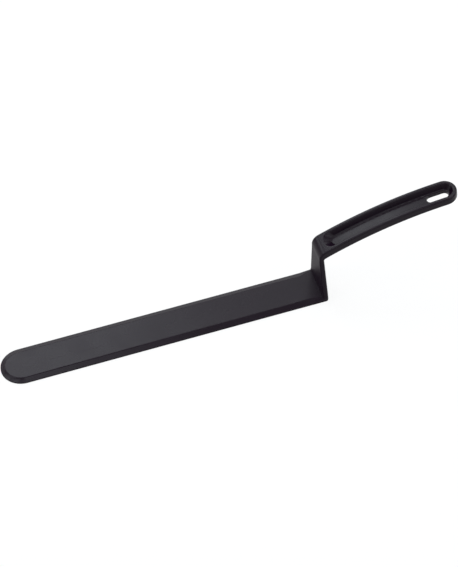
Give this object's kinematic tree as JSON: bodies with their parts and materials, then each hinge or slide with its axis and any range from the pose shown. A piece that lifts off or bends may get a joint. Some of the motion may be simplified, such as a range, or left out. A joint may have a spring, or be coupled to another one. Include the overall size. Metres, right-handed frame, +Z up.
{
  "type": "offset spatula",
  "caption": "One-piece moulded offset spatula: long flat bevelled blade with a round tip, upright riser, and a bowed, grooved handle with a hanging slot.",
  "frame": {"origin": "on the surface that the blade lies flat on, under the middle of the whole length from the tip to the handle's end", "axes": "+X from the blade's tip towards the handle's end, +Z up out of the blade's upper face, +Y across the blade"},
  "size_m": [0.435, 0.04, 0.0852],
  "materials": {
    "black_plastic": "satin"
  },
  "bodies": {
    "root": {"blade": "black_plastic", "riser": "black_plastic", "handle": "black_plastic"}
  },
  "joints": []
}
